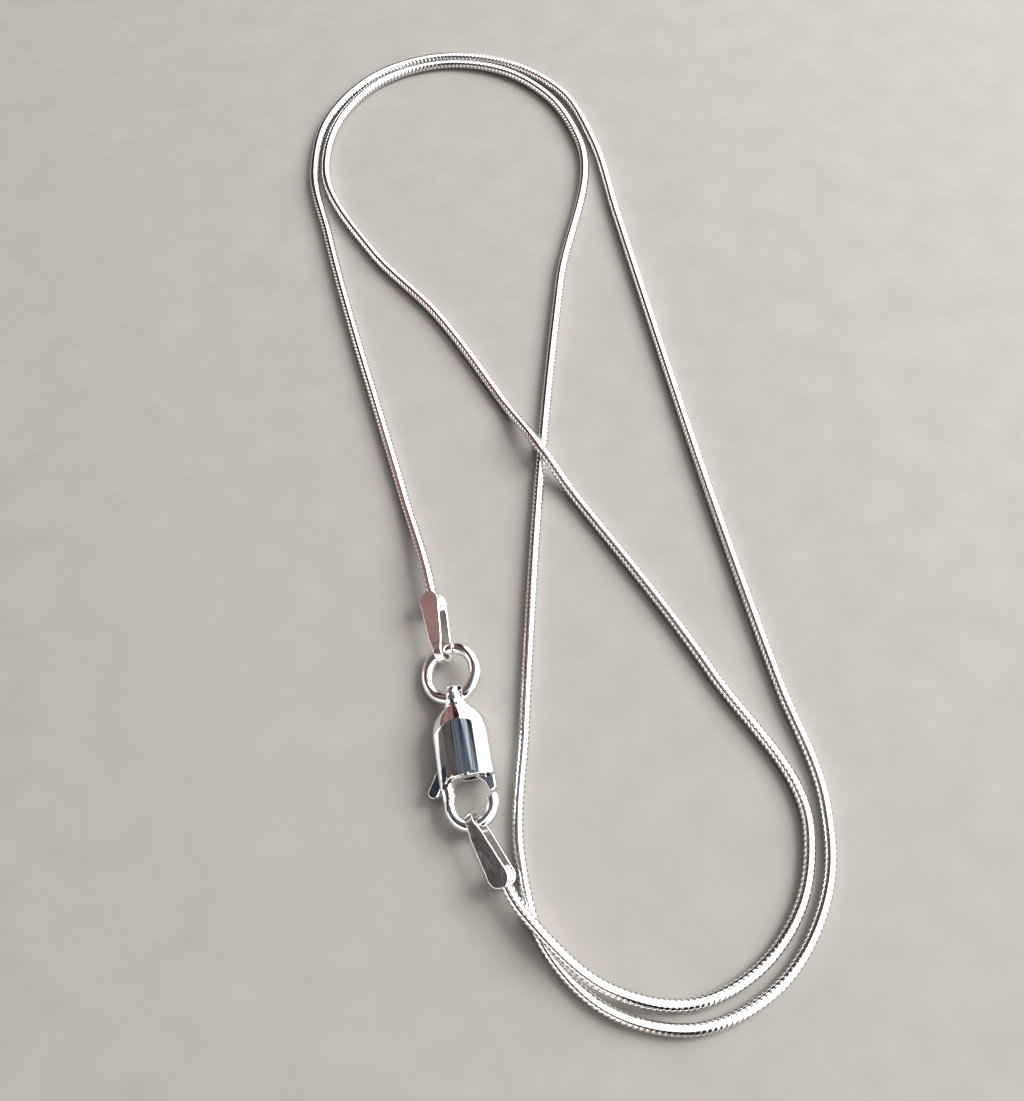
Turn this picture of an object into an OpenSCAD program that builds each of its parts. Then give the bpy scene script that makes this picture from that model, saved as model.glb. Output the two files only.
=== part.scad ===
// Round snake chain necklace that lies folded double, with a lobster clasp, a jump ring and two end tabs.
// Millimetres. X to the right, Y away from the viewer, Z up, with the floor at Z = 0.

/* [Chain] */
// Outer diameter of the round snake chain
chain_d = 0.95; // [0.85:0.01:1]
// Height left free between two runs of chain where one passes over the other
crossing_gap = 0.12; // [0.08:0.01:0.3]

/* [End tabs] */
// Length from the middle of the bend to the round end
tab_length = 5.1; // [4.8:0.1:5.4]
// Width of the round end
tab_head_w = 1.7; // [1.5:0.05:1.9]
// Width at the bend
tab_neck_w = 0.72; // [0.6:0.02:0.74]
// Width where the strip has cleared the wire it hangs on
tab_waist_w = 1.15; // [1:0.05:1.25]
// Thickness of the folded strip
tab_strip_t = 0.25; // [0.2:0.01:0.3]
// Inner radius of the bend
tab_bend_r = 0.74; // [0.72:0.01:0.76]
// Length of chain held between the two leaves
tab_grip = 1.5; // [1:0.1:2]
// Free space on each side of the chain between the leaves
tab_clearance = 0.03; // [0.02:0.01:0.06]
// Lean of the tabs about their own length
tab_roll = 22; // [16:1:24]

/* [Jump ring] */
// Wire diameter
ring_wire_d = 1; // [0.9:0.01:1.02]
// Outer diameter
ring_od = 5.2; // [5:0.1:5.5]
// Width of the cut where the ring was closed
ring_cut = 0.08; // [0.04:0.01:0.2]
// Lean of the ring
ring_roll = 19; // [14:1:21]

/* [Clasp body] */
// Length from the middle of the eye to the far end of the hook
clasp_length = 10.55; // [10:0.05:11]
// Width across the body and the hook
clasp_w = 4.3; // [4.1:0.05:4.6]
// Thickness in the middle of the body
clasp_t = 2.7; // [2.5:0.05:3]
// Thickness at the sides of the body
clasp_side_t = 1.5; // [1.3:0.05:1.8]
// Thickness of the rail beside the window, at the hook's end
rail_end_t = 0.9; // [0.7:0.05:1.2]
// Diameter of the hook's rod
hook_d = 0.95; // [0.85:0.01:1]
// Width of the rail beside the window
rail_w = 1.1; // [1:0.05:1.3]
// Length of the window inside the hook
window_length = 3; // [2.9:0.05:3.2]
// Radius of the window's round corner
window_corner_r = 0.5; // [0.3:0.05:0.7]
// Width of the eye
eye_w = 1.35; // [1.2:0.05:1.5]
// Wall round the eye
eye_wall = 0.26; // [0.2:0.01:0.35]
// Free space over and under the ring's wire in the eye
eye_clearance = 0.19; // [0.18:0.01:0.25]
// Extra height of the eye's hole, so that the ring can lean in it
eye_slot = 0.6; // [0.5:0.05:0.8]
// Length of the neck, from the middle of the eye to the top of the round shoulders
neck_length = 0.65; // [0.5:0.05:0.8]
// Height on the hook's middle radius of its slanted end, above the middle of the hook
hook_end_rise = 0.32; // [0.2:0.02:0.4]
// Slant of the hook's end
hook_end_slant = 25; // [20:1:30]
// Lean of the clasp
clasp_roll = 9; // [6:1:12]

/* [Clasp lever] */
// Thickness of the lever
lever_t = 0.8; // [0.6:0.05:0.9]
// Free space over and under the lever, and round it in its pocket
lever_clearance = 0.08; // [0.05:0.01:0.12]
// Free space between the gate and the end of the hook
gate_clearance = 0.14; // [0.12:0.01:0.2]
// Turn of the lever from shut to open
lever_open = 20; // [12:1:22]
// Radius of the lever's hub
hub_r = 0.7; // [0.6:0.05:0.8]
// Width of the gate under the body
gate_w = 0.95; // [0.85:0.01:1]
// Width of the gate at its slanted end
gate_end_w = 0.52; // [0.45:0.01:0.6]
// Wall of the body beside the neck of the gate
gate_wall = 0.35; // [0.3:0.01:0.4]
// Length of the thumb piece, from the root inside the body to the middle of its round end
thumb_length = 1.3; // [1.2:0.05:1.4]
// Radius of the thumb piece's round end
thumb_r = 0.46; // [0.38:0.01:0.48]
// Diameter of the pivot pin
pin_d = 0.7; // [0.5:0.05:0.8]
// Free space round the pin
pin_clearance = 0.03; // [0.02:0.01:0.05]
// Length of the pivot pin
pin_length = 1.8; // [1.5:0.05:1.9]

/* [Hidden] */
$fn = 64;
silver = [0.86, 0.86, 0.87];

// How the hardware lies. A place is [x, y]. A turn, seat or heading is an angle from the X axis, seen from
// above, and a seat is where on the round wire or hook a piece hangs. A float is the free height under a
// piece, a slack is how far it is drawn along its own length, and a head_z is how high a tab's head lies.
ring_place = [-8.38, -21.72];
ring_float = 0.13;
ring_tab_seat = 108;
ring_tab_heading = 96;
ring_tab_head_z = 1.3;
clasp_seat = -83.5;
clasp_turn = 4.1;
clasp_float = 0.08;
clasp_slack = 0.07;
hook_tab_seat = -86.5;
hook_tab_heading = -67.5;
hook_tab_slack = -0.1;
hook_tab_head_z = 1.5;

// Centre line of the chain between the two tabs. The columns are x, y and the lift over the floor run,
// where a lift of 1 clears the run of chain that is crossed.
chain_points = [
    [-11.4, -5.1, 0], [-17.5, 25.3, 0],
    [-18.8, 34, 0], [-17.3, 41.2, 0], [-11.8, 47.2, 0], [-4.6, 49, 0], [2.7, 46.8, 0], [7.9, 41.8, 0],
    [10.3, 34.5, 0], [11.4, 24.3, 0], [17.5, -25.3, 0],
    [19, -34.6, 0], [18.2, -39.8, 0], [12.8, -47, 0], [6.6, -49, 0], [0.5, -47, 0], [-3.3, -42.2, 0],
    [-4.3, -36.3, 0], [-3, -26.6, 0], [-1.8, -18.7, 0],
    [1.4, 0, 0], [4.8, 16.6, 0],
    [8.9, 34.6, 0], [6.6, 41.1, 0], [2.1, 45.8, 0], [-4.4, 47.9, 0], [-11.3, 46.2, 0], [-16, 41, 0],
    [-17.6, 34.5, 0], [-13.2, 22.8, 0], [-7.4, 14.5, 0], [-1.9, 3.8, 0], [0.9, -2, 1], [3.6, -6.9, 0],
    [12.4, -23.7, 0],
    [17.4, -36.3, 0], [15.7, -41.6, 0], [12, -45.5, 0], [6.7, -47.4, 0], [1.1, -45.9, 0.6], [-3.4, -41.6, 1]
];
// The row where the second length of chain takes over from the first
chain_split = 19;
// A stretch that turns less than this, in degrees, needs no ring of points in its middle
straight_turn = 9;
tube_sides = 8;

// Chain heights. The tube's flats lie a chain diameter apart, and its corners reach further out.
floor_run_z = chain_d / 2;
tube_r = chain_d / 2 / cos(180 / tube_sides);
chain_lift = chain_d + crossing_gap;

// Tab shape: the leaves close from the bend's width to the chain's at the round end
tab_gap = 2 * (tube_r + tab_clearance);
tab_head_r = tab_head_w / 2;
tab_waist_y = tab_bend_r + tab_strip_t;
tab_close = acos(tab_gap / 2 / norm([tab_bend_r, tab_length])) - atan(tab_length / tab_bend_r);

// The bend runs this far into the leaves, in degrees
bend_lap = 2;

// Ring
ring_mean_r = (ring_od - ring_wire_d) / 2;
ring_z = ring_mean_r * sin(ring_roll) + ring_wire_d / 2 + ring_float;
ring_cut_angle = 77;

// Clasp, in its own frame: the middle of the eye is the origin, and the hook points along -Y
hook_mean_r = (clasp_w - hook_d) / 2;
hook_y = clasp_w / 2 - clasp_length;
hook_inner_r = clasp_w / 2 - hook_d;
window_top_y = hook_y - hook_inner_r + window_length;
eye_hole_r = ring_wire_d / 2 + eye_clearance;
eye_r = eye_hole_r + eye_wall;
shoulder_y = -neck_length - clasp_w / 2;
// The neck's sides run to this angle and this share of the radius inside the round shoulders, seen from above
neck_root_angle = 47;
neck_root_share = 0.9;
crown_half_w = clasp_w / 2;
crown_rise = (clasp_t - clasp_side_t) / 2;
crown_r = (crown_half_w ^ 2 + crown_rise ^ 2) / (2 * crown_rise);
rail_x = rail_w - clasp_w / 2;

// Lever joints, in the clasp's frame
pivot = [0.05, -5];
gate_top_y = window_top_y - lever_clearance;
gate_neck_r = 0.24;
gate_neck = [clasp_w / 2 - gate_wall - lever_clearance - gate_neck_r, gate_top_y - gate_neck_r];
thumb_angle = -123;
thumb_drop = 1.02;
thumb_root = [-clasp_w / 2 + thumb_r / 3, pivot.y - thumb_drop];
thumb_tip = thumb_root + thumb_length * [cos(thumb_angle), sin(thumb_angle)];
lever_half_t = lever_t / 2;
pocket_half_t = lever_half_t + lever_clearance;
web_share = 0.96;
pocket_reach = 0.6;

// Height of the hook's slanted end at a distance from the clasp's middle line, and the gate's end above it
function hook_end_y(x) = hook_y + hook_end_rise + (x - hook_mean_r) * tan(hook_end_slant);
function gate_end_y(x) = hook_end_y(x) + gate_clearance / cos(hook_end_slant);

// A point of the lever, turned about the pivot to where it is when the lever is open
function spun(p) =
    let (d = p - pivot)
    pivot + [d.x * cos(lever_open) + d.y * sin(lever_open), d.y * cos(lever_open) - d.x * sin(lever_open)];

function heading(angle, rise) = [cos(angle) * cos(rise), sin(angle) * cos(rise), sin(rise)];

// A point of the jump ring's centre line, at an angle in the ring's own plane
function ring_point(angle) = [ring_place.x + ring_mean_r * cos(angle) * cos(ring_roll),
                              ring_place.y + ring_mean_r * sin(angle),
                              ring_z + ring_mean_r * cos(angle) * sin(ring_roll)];

// A point of the clasp's frame, moved to where the clasp lies
clasp_z = clasp_t / 2 + clasp_float;
clasp_eye = [ring_point(clasp_seat).x - clasp_slack * sin(clasp_turn),
             ring_point(clasp_seat).y + clasp_slack * cos(clasp_turn),
             clasp_z];
function clasp_point(p) = clasp_eye + [p.x * cos(clasp_roll) * cos(clasp_turn) - p.y * sin(clasp_turn),
                                       p.x * cos(clasp_roll) * sin(clasp_turn) + p.y * cos(clasp_turn),
                                       p.x * sin(clasp_roll)];

// Where each tab's bend is centred, and how its length points
hook_seat = clasp_point([hook_mean_r * cos(hook_tab_seat), hook_y + hook_mean_r * sin(hook_tab_seat)]);
ring_tab_bend = ring_point(ring_tab_seat);
hook_tab_bend = hook_seat + hook_tab_slack * heading(hook_tab_heading, 0);
ring_tab_rise = asin((ring_tab_head_z - ring_tab_bend.z) / tab_length);
hook_tab_rise = asin((hook_tab_head_z - hook_tab_bend.z) / tab_length);
function ring_tab_point(s) = ring_tab_bend + s * heading(ring_tab_heading, ring_tab_rise);
function hook_tab_point(s) = hook_tab_bend + s * heading(hook_tab_heading, hook_tab_rise);
held_from = tab_length - tab_grip;
held_to = tab_length + chain_d / 2;

// The whole route, from the chain's end in one tab to its end in the other
route = concat(
    [ring_tab_point(held_from), ring_tab_point(held_to)],
    [for (row = chain_points) [row.x, row.y, floor_run_z + chain_lift * row.z]],
    [hook_tab_point(held_to), hook_tab_point(held_from)]);
route_end = len(route) - 1;
rows_in_tab = 2;
route_split = chain_split + rows_in_tab;

// The direction at a route point, seen from above: each neighbour counts more the nearer it is
function flat(p) = [p.x, p.y];
function span(i) = norm(flat(route[i + 1] - route[i]));
function course(i) = flat(route[i + 1] - route[i]) / span(i);
function mean_course(i) = (course(i - 1) * span(i) + course(i) * span(i - 1)) / (span(i - 1) + span(i));
function way(i) = i <= 1 ? course(0) : i >= route_end - 1 ? course(route_end - 1) : mean_course(i);

// A point part of the way along a stretch: a cubic curve seen from above, and an eased step in height
function along(i, t) =
    let (a = flat(route[i]), b = flat(route[i + 1]), s = span(i),
         p = a * (2 * t ^ 3 - 3 * t ^ 2 + 1) + b * (3 * t ^ 2 - 2 * t ^ 3)
           + s * (way(i) * (t ^ 3 - 2 * t ^ 2 + t) + way(i + 1) * (t ^ 3 - t ^ 2)),
         z = route[i].z + (route[i + 1].z - route[i].z) * (3 * t ^ 2 - 2 * t ^ 3))
    [p.x, p.y, z];
function turn(i) = acos(min(1, way(i) * way(i + 1) / norm(way(i)) / norm(way(i + 1))));
function is_bent(i) = turn(i) > straight_turn || (i > 0 && i < route_end - 1 && route[i].z != route[i + 1].z);
function line(first, last) = concat(
    [for (i = [first:last - 1]) each is_bent(i) ? [along(i, 0), along(i, 0.5)] : [along(i, 0)]],
    [route[last]]);

function unit(v) = v / norm(v);

// A round tube along a line of points, as one closed solid, with its two ends square to the given ways
module tube(points, start_way, end_way) {
    last = len(points) - 1;
    rings = [for (i = [0:last])
        let (ahead = i == 0 ? unit([start_way.x, start_way.y, 0])
                 : i == last ? unit([end_way.x, end_way.y, 0])
                 : unit(points[i + 1] - points[i - 1]),
             side = unit(cross([0, 0, 1], ahead)),
             up = cross(ahead, side))
        for (k = [0:tube_sides - 1])
            let (a = (k + 0.5) * 360 / tube_sides)
            points[i] + tube_r * (cos(a) * side + sin(a) * up)];
    sides = [for (i = [0:last - 1]) for (k = [0:tube_sides - 1])
        let (next = (k + 1) % tube_sides, here = i * tube_sides, there = here + tube_sides)
        [here + k, there + k, there + next, here + next]];
    start_cap = [[for (k = [0:tube_sides - 1]) k]];
    end_cap = [[for (k = [tube_sides - 1:-1:0]) last * tube_sides + k]];
    polyhedron(rings, concat(start_cap, sides, end_cap));
}

module chain_first() {
    color(silver) tube(line(0, route_split), way(0), way(route_split));
}

module chain_second() {
    color(silver) tube(line(route_split, route_end), way(route_split), way(route_end));
}

// Flat outline of one leaf, from the bend to the round end
module leaf_outline() {
    head_y = tab_length - tab_head_r;
    polygon([[-tab_neck_w / 2, 0], [tab_neck_w / 2, 0], [tab_waist_w / 2, tab_waist_y], [tab_head_r, head_y],
             [-tab_head_r, head_y], [-tab_waist_w / 2, tab_waist_y]]);
    translate([0, head_y]) circle(r = tab_head_r);
}

// A folded tab along Y, with its bend round the X axis. The leaves run into the bend.
module folded_tab() {
    for (flip = [0, 1])
        mirror([0, 0, flip])
            rotate([-tab_close, 0, 0])
                translate([0, 0, tab_bend_r])
                    linear_extrude(tab_strip_t) leaf_outline();
    rotate([0, 90, 0])
        rotate([0, 0, 180 - tab_close - bend_lap])
            rotate_extrude(angle = 180 + 2 * (tab_close + bend_lap))
                translate([tab_bend_r, -tab_neck_w / 2]) square([tab_strip_t, tab_neck_w]);
}

module place_tab(bend, angle, rise, roll) {
    translate(bend) rotate([0, 0, angle - 90]) rotate([rise, 0, 0]) rotate([0, -roll, 0]) folded_tab();
}

module end_tab_ring() {
    color(silver) place_tab(ring_tab_bend, ring_tab_heading, ring_tab_rise, tab_roll);
}

module end_tab_hook() {
    color(silver) place_tab(hook_tab_bend, hook_tab_heading, hook_tab_rise, -tab_roll);
}

module jump_ring() {
    color(silver)
        translate([ring_place.x, ring_place.y, ring_z])
            rotate([0, -ring_roll, 0])
                difference() {
                    rotate_extrude() translate([ring_mean_r, 0]) circle(d = ring_wire_d);
                    rotate([0, 0, ring_cut_angle])
                        translate([0, -ring_cut / 2, -ring_wire_d])
                            cube([ring_od, ring_cut, 2 * ring_wire_d]);
                }
}

// Puts what is made in the clasp's frame where the clasp lies
module place_clasp() {
    translate(clasp_eye) rotate([0, 0, clasp_turn]) rotate([0, -clasp_roll, 0]) children();
}

// Flat web between two round spots of a lever, a little narrower than the spots, so that its edges end inside
module web(a, b, ra, rb) {
    across = web_share * [a.y - b.y, b.x - a.x] / norm(b - a);
    polygon([a - ra * across, b - rb * across, b + rb * across, a + ra * across]);
}

// Gate seen from above: flush with the body's side, with its end slanted as the hook's end is
module gate_outline() {
    out_x = clasp_w / 2;
    end_x = out_x - gate_end_w;
    polygon([[out_x, gate_top_y], [out_x - gate_w, gate_top_y], [end_x, gate_end_y(end_x)],
             [out_x, gate_end_y(out_x)]]);
}

// Lever seen from above
module lever_outline() {
    translate(pivot) circle(r = hub_r);
    translate(gate_neck) circle(r = gate_neck_r);
    translate(thumb_root) circle(r = thumb_r);
    translate(thumb_tip) circle(r = thumb_r);
    web(pivot, gate_neck, hub_r, gate_neck_r);
    web(pivot, thumb_root, hub_r, thumb_r);
    web(thumb_root, thumb_tip, thumb_r, thumb_r);
    gate_outline();
}

// Room for the lever from shut to open: a hub, a field towards the thumb piece and one towards the gate
module lever_pocket() {
    room = hub_r + lever_clearance;
    thumb_open = spun(thumb_root);
    thumb_side = (thumb_r + 2 * lever_clearance) * [-sin(thumb_angle), cos(thumb_angle)];
    out_x = clasp_w / 2 + pocket_reach;
    wall_x = clasp_w / 2 - gate_wall;
    floor_y = window_top_y - window_corner_r;
    translate([0, 0, -pocket_half_t])
        linear_extrude(2 * pocket_half_t) {
            translate(pivot) circle(r = room);
            polygon([pivot + [0, room], [-out_x, thumb_open.y + thumb_r + 2 * lever_clearance],
                     [-out_x, thumb_tip.y - thumb_r], thumb_tip + thumb_side, thumb_root + thumb_side,
                     pivot - [0, room + lever_clearance]]);
            polygon([pivot + [room / 4, room], pivot + [-room / 2, -room / 2],
                     [pivot.x - room / 2, floor_y], [wall_x, floor_y], [wall_x, gate_neck.y + hub_r]]);
        }
}

// Body and rail seen from above, without the hook
module shell_outline() {
    side = clasp_w / 2;
    rail_length = window_top_y - hook_y;
    neck_root = [0, shoulder_y] + neck_root_share * side * [cos(neck_root_angle), sin(neck_root_angle)];
    difference() {
        union() {
            translate([0, shoulder_y]) circle(r = side);
            translate([-side, window_top_y]) square([clasp_w, shoulder_y - window_top_y]);
            polygon([[-eye_w / 2, 0], [-neck_root.x, neck_root.y], neck_root, [eye_w / 2, 0]]);
            intersection() {
                union() {
                    translate([-side, hook_y]) square([clasp_w, rail_length]);
                    translate([0, hook_y]) circle(r = side);
                }
                translate([-side, hook_y - hook_d / 2])
                    square([rail_w + window_corner_r, rail_length + hook_d]);
            }
        }
        translate([0, hook_y]) circle(r = hook_inner_r);
        translate([rail_x, hook_y - hook_d]) square([clasp_w, rail_length - window_corner_r + hook_d]);
        translate([rail_x + window_corner_r, hook_y]) square([clasp_w, rail_length]);
        translate([rail_x + window_corner_r, window_top_y - window_corner_r]) circle(r = window_corner_r);
    }
}

// Domed cross-section of the body
module crown_section() {
    intersection_for (flip = [-1, 1])
        translate([0, flip * (clasp_t / 2 - crown_r)]) circle(r = crown_r, $fn = 128);
}

// Body seen from the side: the columns are Y and half the thickness
side_rows = [
    [eye_r / 2, clasp_t * 0.3], [-eye_r, clasp_t * 0.4], [shoulder_y + clasp_w * 0.175, clasp_t / 2],
    [window_top_y, clasp_t / 2], [window_top_y - window_length * 0.3, clasp_t * 0.36],
    [hook_y - hook_d / 2, rail_end_t / 2]
];
module side_section() {
    polygon(concat(side_rows, [for (i = [len(side_rows) - 1:-1:0]) [side_rows[i].x, -side_rows[i].y]]));
}

// A loop whose hole runs along X and is taller than it is long
module eye_solid(r, w) {
    for (side = [-1, 1])
        translate([-w / 2, 0, side * eye_slot / 2]) rotate([0, 90, 0]) cylinder(r = r, h = w);
    translate([-w / 2, -r, -eye_slot / 2]) cube([w, 2 * r, eye_slot]);
}

// The hook's round rod, from the rail round to its slanted end beside the gate
module hook_rod() {
    translate([0, hook_y, 0])
        difference() {
            rotate([0, 0, 180])
                rotate_extrude(angle = 180 + 2 * hook_end_slant)
                    translate([hook_mean_r, 0]) circle(d = hook_d);
            translate([hook_mean_r, hook_end_rise, -hook_d])
                rotate([0, 0, hook_end_slant])
                    translate([-hook_d, 0]) cube([2 * hook_d, clasp_w, 2 * hook_d]);
        }
}

module clasp_body() {
    pin_hole_r = pin_d / 2 + pin_clearance;
    color(silver)
        place_clasp()
            difference() {
                union() {
                    intersection() {
                        translate([0, 0, -clasp_t]) linear_extrude(2 * clasp_t) shell_outline();
                        rotate([90, 0, 0]) linear_extrude(4 * clasp_length, center = true) crown_section();
                        rotate([90, 0, 90]) linear_extrude(2 * clasp_w, center = true) side_section();
                    }
                    eye_solid(eye_r, eye_w);
                    hook_rod();
                }
                eye_solid(eye_hole_r, 2 * eye_w);
                lever_pocket();
                translate([pivot.x, pivot.y, -pin_length / 2 - pin_clearance])
                    cylinder(r = pin_hole_r, h = pin_length + 2 * pin_clearance);
            }
}

module clasp_lever() {
    color(silver)
        place_clasp()
            difference() {
                translate([0, 0, -lever_half_t]) linear_extrude(lever_t) lever_outline();
                translate([pivot.x, pivot.y, -lever_t])
                    cylinder(r = pin_d / 2 + pin_clearance, h = 2 * lever_t);
            }
}

module clasp_pin() {
    color(silver)
        place_clasp()
            translate([pivot.x, pivot.y, -pin_length / 2]) cylinder(d = pin_d, h = pin_length);
}

chain_first();
chain_second();
end_tab_ring();
end_tab_hook();
jump_ring();
clasp_body();
clasp_lever();
clasp_pin();
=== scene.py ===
"""Silver snake chain that lies folded double on a pale floor, with its lobster clasp, jump ring and end tabs.

Lengths are in millimetres until a mesh is made, and metres after that. The floor is at Z = 0.
"""

import math

import bpy
import numpy as np
from mathutils import Matrix, Vector


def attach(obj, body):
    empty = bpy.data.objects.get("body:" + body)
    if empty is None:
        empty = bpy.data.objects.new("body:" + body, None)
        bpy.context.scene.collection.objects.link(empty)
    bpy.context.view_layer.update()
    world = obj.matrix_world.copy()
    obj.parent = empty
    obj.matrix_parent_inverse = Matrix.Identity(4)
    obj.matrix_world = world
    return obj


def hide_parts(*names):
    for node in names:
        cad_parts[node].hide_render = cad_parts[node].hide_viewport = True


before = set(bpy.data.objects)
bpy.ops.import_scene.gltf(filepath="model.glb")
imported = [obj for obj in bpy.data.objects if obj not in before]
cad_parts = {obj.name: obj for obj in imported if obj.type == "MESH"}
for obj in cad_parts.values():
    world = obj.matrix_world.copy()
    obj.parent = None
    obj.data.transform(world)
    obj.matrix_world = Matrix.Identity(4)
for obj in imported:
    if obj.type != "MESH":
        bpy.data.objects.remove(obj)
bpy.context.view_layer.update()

MM = 0.001

# Camera: where it stands, how far below the horizon it looks and how it leans
CAMERA_PLACE = (-2.5, -46.34, 78.06)
CAMERA_BELOW_HORIZON = 65.6
CAMERA_LEAN = -6.0
FOCAL_LENGTH_PX = 1000
FRAME_HEIGHT_PX = 1101
SENSOR = 36

# Chain
CHAIN_D = 0.95
CROSSING_GAP = 0.12
LINK_PITCH = 0.42
LINK_WAVE = 0.13
GROOVE_DEPTH = 0.03
LINK_INSET = 0.012
RIDGE_R = CHAIN_D / 2 - LINK_INSET
CHAIN_SIDES = 26
CHAIN_SPLIT = 19
# Grooves are shallow on the chain's top and deep at its sides, and the painted shade that darkens them
# follows
TOP_DEPTH = 0.1
TOP_GROOVE_SHADE = 0.03
SIDE_GROOVE_SHADE = 1.15
MOST_GROOVE_SHADE = 0.85

# End tabs
TAB_LENGTH = 5.1
TAB_HEAD_W = 1.7
TAB_NECK_W = 0.72
TAB_WAIST_W = 1.15
TAB_STRIP_T = 0.25
TAB_BEND_R = 0.74
TAB_GRIP = 1.5
TAB_CLEARANCE = 0.03
TAB_ROLL = 22
TAB_ROUND = 0.1
TAB_HEAD_BLEND = 0.05
TUBE_SIDES = 8

# Jump ring
RING_WIRE_D = 1.0
RING_OD = 5.2
RING_CUT = 0.08
RING_CUT_ANGLE = 77
RING_ROLL = 19
RING_PLACE = (-8.38, -21.72)
RING_FLOAT = 0.13

# Clasp
CLASP_LENGTH = 10.55
CLASP_W = 4.3
CLASP_T = 2.7
CLASP_SIDE_T = 1.5
HOOK_D = 0.95
RAIL_W = 1.1
WINDOW_LENGTH = 3.0
NECK_LENGTH = 0.65
NECK_TOP_Y = 0.45
NECK_FOOT_Y = -1.3
NECK_FOOT_R = 1.12
CREST_SHARE = 0.175
HOOK_END_RISE = 0.32
HOOK_END_SLANT = 25
WINDOW_CORNER_R = 0.5
EYE_W = 1.35
EYE_WALL = 0.26
EYE_CLEARANCE = 0.19
EYE_SLOT = 0.6
CLASP_ROLL = 9
CLASP_TURN = 4.1
CLASP_SEAT = -83.5
CLASP_FLOAT = 0.08
CLASP_SLACK = 0.07

# Lever
LEVER_T = 0.8
LEVER_CLEARANCE = 0.08
GATE_CLEARANCE = 0.14
GATE_W = 0.95
GATE_END_W = 0.52
GATE_WALL = 0.35
GATE_NECK_R = 0.24
LEVER_OPEN = 20
HUB_R = 0.7
THUMB_LENGTH = 1.3
THUMB_R = 0.46
THUMB_ANGLE = -123
THUMB_DROP = 1.02
POCKET_REACH = 0.6
PIVOT = np.array([0.05, -5.0])

# How the two tabs hang: where on the wire they sit, and how they point
RING_TAB_SEAT = 108
RING_TAB_HEADING = 96
RING_TAB_HEAD_Z = 1.3
HOOK_TAB_SEAT = -86.5
HOOK_TAB_HEADING = -67.5
HOOK_TAB_SLACK = -0.1
HOOK_TAB_HEAD_Z = 1.5

# Centre line of the chain between the tabs: x, y and the lift over the floor run
CHAIN_POINTS = [
    (-11.4, -5.1, 0), (-17.5, 25.3, 0), (-18.8, 34, 0), (-17.3, 41.2, 0), (-11.8, 47.2, 0),
    (-4.6, 49, 0), (2.7, 46.8, 0), (7.9, 41.8, 0), (10.3, 34.5, 0), (11.4, 24.3, 0),
    (17.5, -25.3, 0), (19, -34.6, 0), (18.2, -39.8, 0), (12.8, -47, 0), (6.6, -49, 0),
    (0.5, -47, 0), (-3.3, -42.2, 0), (-4.3, -36.3, 0), (-3, -26.6, 0), (-1.8, -18.7, 0),
    (1.4, 0, 0), (4.8, 16.6, 0), (8.9, 34.6, 0), (6.6, 41.1, 0), (2.1, 45.8, 0),
    (-4.4, 47.9, 0), (-11.3, 46.2, 0), (-16, 41, 0), (-17.6, 34.5, 0), (-13.2, 22.8, 0),
    (-7.4, 14.5, 0), (-1.9, 3.8, 0), (0.9, -2, 1), (3.6, -6.9, 0), (12.4, -23.7, 0),
    (17.4, -36.3, 0), (15.7, -41.6, 0), (12, -45.5, 0), (6.7, -47.4, 0), (1.1, -45.9, 0.6),
    (-3.4, -41.6, 1),
]


def sin(angle):
    return math.sin(math.radians(angle))


def cos(angle):
    return math.cos(math.radians(angle))


def turned(angle, axis):
    return Matrix.Rotation(math.radians(angle), 4, axis)


# Places that follow from the sizes above
RING_MEAN_R = (RING_OD - RING_WIRE_D) / 2
RING_Z = RING_MEAN_R * sin(RING_ROLL) + RING_WIRE_D / 2 + RING_FLOAT
HOOK_MEAN_R = (CLASP_W - HOOK_D) / 2
HOOK_INNER_R = CLASP_W / 2 - HOOK_D
HOOK_Y = CLASP_W / 2 - CLASP_LENGTH
WINDOW_TOP_Y = HOOK_Y - HOOK_INNER_R + WINDOW_LENGTH
EYE_HOLE_R = RING_WIRE_D / 2 + EYE_CLEARANCE
EYE_R = EYE_HOLE_R + EYE_WALL
SHOULDER_Y = -NECK_LENGTH - CLASP_W / 2
RAIL_X = RAIL_W - CLASP_W / 2
CREST_Y = SHOULDER_Y + CREST_SHARE * CLASP_W
TUBE_R = CHAIN_D / 2 / cos(180 / TUBE_SIDES)
TAB_GAP = 2 * (TUBE_R + TAB_CLEARANCE)
TAB_WAIST_Y = TAB_BEND_R + TAB_STRIP_T


def ring_point(angle):
    return Vector((
        RING_PLACE[0] + RING_MEAN_R * cos(angle) * cos(RING_ROLL),
        RING_PLACE[1] + RING_MEAN_R * sin(angle),
        RING_Z + RING_MEAN_R * cos(angle) * sin(RING_ROLL),
    ))


def heading(angle, rise):
    return Vector((cos(angle) * cos(rise), sin(angle) * cos(rise), sin(rise)))


SEAT = ring_point(CLASP_SEAT)
CLASP_EYE = Vector((
    SEAT.x - CLASP_SLACK * sin(CLASP_TURN),
    SEAT.y + CLASP_SLACK * cos(CLASP_TURN),
    CLASP_T / 2 + CLASP_FLOAT,
))
RING_FRAME = Matrix.Translation((*RING_PLACE, RING_Z)) @ turned(-RING_ROLL, "Y")
CLASP_FRAME = Matrix.Translation(CLASP_EYE) @ turned(CLASP_TURN, "Z") @ turned(-CLASP_ROLL, "Y")

HOOK_SEAT = CLASP_FRAME @ Vector((
    HOOK_MEAN_R * cos(HOOK_TAB_SEAT),
    HOOK_Y + HOOK_MEAN_R * sin(HOOK_TAB_SEAT),
    0,
))
RING_TAB_BEND = ring_point(RING_TAB_SEAT)
HOOK_TAB_BEND = HOOK_SEAT + HOOK_TAB_SLACK * heading(HOOK_TAB_HEADING, 0)


def rise_to(height, bend):
    return math.degrees(math.asin((height - bend.z) / TAB_LENGTH))


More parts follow.
